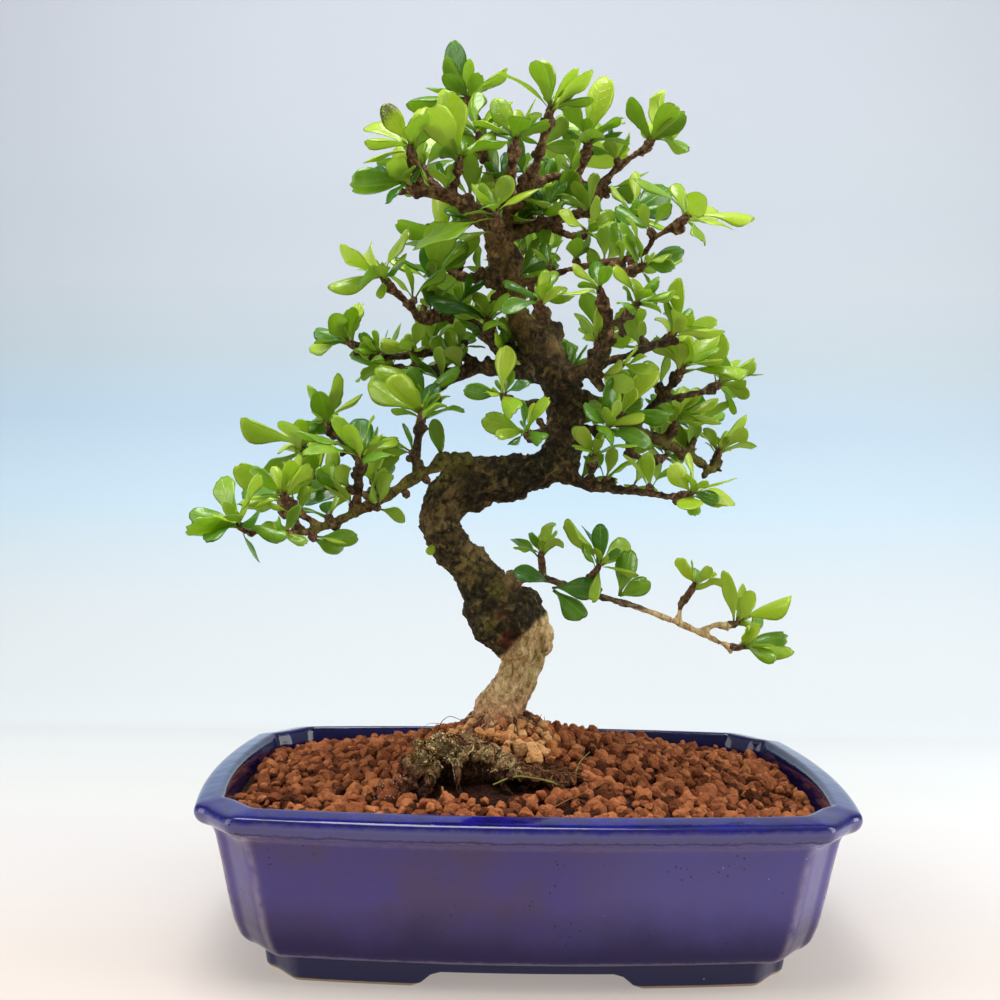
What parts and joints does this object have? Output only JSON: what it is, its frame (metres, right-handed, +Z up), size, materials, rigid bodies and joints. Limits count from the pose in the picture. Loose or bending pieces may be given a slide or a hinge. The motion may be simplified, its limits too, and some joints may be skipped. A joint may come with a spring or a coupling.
{
  "type": "fukien tea bonsai in a glazed pot",
  "caption": "Small bonsai tree with a curved trunk and toothed leaves, in a low footed pot of blue glazed stoneware filled with granular soil.",
  "frame": {"origin": "middle of the pot's footprint, on the surface that it stands on", "axes": "+Z up, +X along the pot's long side to the right, -Y towards the front of the pot"},
  "size_m": [0.2612, 0.1856, 0.3771],
  "materials": {
    "glaze": "glossy cobalt blue glaze, paler where it thins on the edges",
    "drain_mesh": "matt dark plastic mesh",
    "soil": "rough red-brown baked clay granules",
    "root_mass": "rough old roots with moss",
    "bark": "rough dark bark with moss and pale patches",
    "leaf": "glossy green leaf, paler beneath"
  },
  "bodies": {
    "root": {"pot": "glaze", "drain_mesh_left": "drain_mesh", "drain_mesh_right": "drain_mesh", "soil": "soil", "root_mass": "root_mass", "trunk_and_branches": "bark", "spray_crown_right": "leaf", "spray_crown_middle": "leaf", "spray_crown_right_back": "leaf", "spray_crown_front": "leaf", "spray_crown_left": "leaf", "spray_crown_left_tip": "leaf", "spray_crown_left_inner": "leaf", "spray_top": "leaf", "spray_top_inner": "leaf", "spray_leader_front": "leaf", "spray_thin_right": "leaf", "spray_thin_right_under": "leaf", "spray_short_right": "leaf", "spray_short_right_front": "leaf", "spray_short_right_side": "leaf", "spray_right": "leaf", "spray_right_upper": "leaf", "spray_right_upper_end": "leaf", "spray_right_twig": "leaf", "spray_right_outer": "leaf", "spray_right_front": "leaf", "spray_right_under": "leaf", "spray_right_inner": "leaf", "spray_under_right": "leaf", "spray_under_right_twig": "leaf", "spray_front_low": "leaf", "spray_front_high": "leaf", "spray_front_middle": "leaf", "spray_left_middle": "leaf", "spray_left_middle_front": "leaf", "spray_left_middle_under": "leaf", "spray_left_far": "leaf", "spray_left_high": "leaf", "spray_left_upper": "leaf", "spray_left_upper_twig": "leaf", "spray_left_low": "leaf", "spray_left_low_inner": "leaf", "spray_left_low_middle": "leaf", "spray_left_low_back": "leaf", "spray_left_low_outer": "leaf", "spray_left_low_high": "leaf", "spray_left_low_rear": "leaf", "spray_low_right": "leaf", "spray_low_right_inner": "leaf", "spray_low_right_middle": "leaf", "spray_low_right_outer": "leaf", "spray_low_right_end": "leaf", "spray_back_crown_right": "leaf", "spray_back_crown_left": "leaf", "spray_back_upper": "leaf", "spray_back_right": "leaf", "spray_back_left": "leaf", "spray_crown_fill_right": "leaf", "spray_crown_fill_inner": "leaf"}
  },
  "joints": []
}
